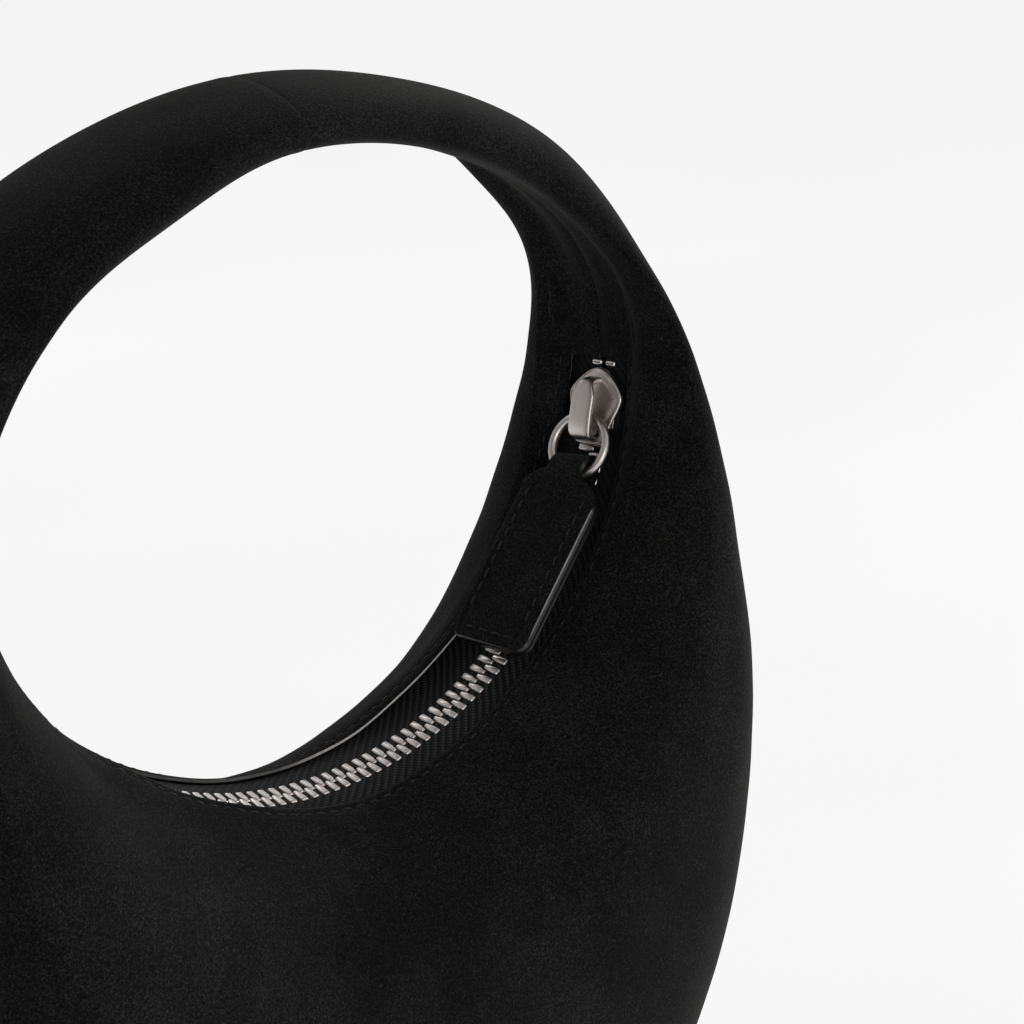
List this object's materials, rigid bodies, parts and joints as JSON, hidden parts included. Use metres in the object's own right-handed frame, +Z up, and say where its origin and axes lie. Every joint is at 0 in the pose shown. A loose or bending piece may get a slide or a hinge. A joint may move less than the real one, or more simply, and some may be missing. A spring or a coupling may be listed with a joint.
{
  "type": "half moon bag",
  "caption": "Black suede half moon hand bag: a round pouch that narrows into an arched handle round an arm hole, closed by a curved metal zip with a stitched pull tab.",
  "frame": {"origin": "middle of the underside of the handle, where a hand, arm or hook carries the bag", "axes": "+Z up through the handle's top, +X to the right seen from the front, -Y out of the front panel"},
  "size_m": [0.2086, 0.084, 0.2763],
  "materials": {
    "suede": "black suede with a short brushed nap",
    "lining_cloth": "plain woven black lining",
    "filler": "soft felt filler",
    "zip_tape": "black twill tape",
    "zip_metal": "satin nickel",
    "tab_leather": "smooth black leather with a painted edge",
    "thread": "black bonded thread"
  },
  "bodies": {
    "bag": {"front_panel": "suede", "back_panel": "suede", "lining_front": "lining_cloth", "lining_back": "lining_cloth", "handle_core": "filler", "zip_tape_front": "zip_tape", "zip_tape_back": "zip_tape", "zip_teeth_front": "zip_metal", "zip_teeth_back": "zip_metal", "top_stops": "zip_metal", "bottom_stop": "zip_metal", "window_stitching_front": "thread", "window_stitching_back": "thread"},
    "slider": {"slider_body": "zip_metal", "slider_bridge": "zip_metal"},
    "ring": {"pull_ring": "zip_metal"},
    "tab": {"tab_face": "suede", "tab_back": "tab_leather", "tab_stitching": "thread"}
  },
  "joints": [
    {"name": "slider_travel", "type": "hinge", "parent": "bag", "child": "slider", "pos_m": [0, 0, -0.051], "axis": [0, 1, 0], "range_deg": [0, 120], "deforming": ["zip_tape_front", "zip_tape_back", "zip_teeth_front", "zip_teeth_back"]},
    {"name": "ring_swing", "type": "hinge", "parent": "slider", "child": "ring", "pos_m": [0.08082, -0.00112, -0.07524], "axis": [-0.2073, 0.9766, 0.0563], "range_deg": [0, 70]},
    {"name": "tab_swing", "type": "hinge", "parent": "ring", "child": "tab", "pos_m": [0.07407, -0.00185, -0.08748], "axis": [-0.2073, 0.9766, 0.0563], "range_deg": [0, 60]}
  ]
}
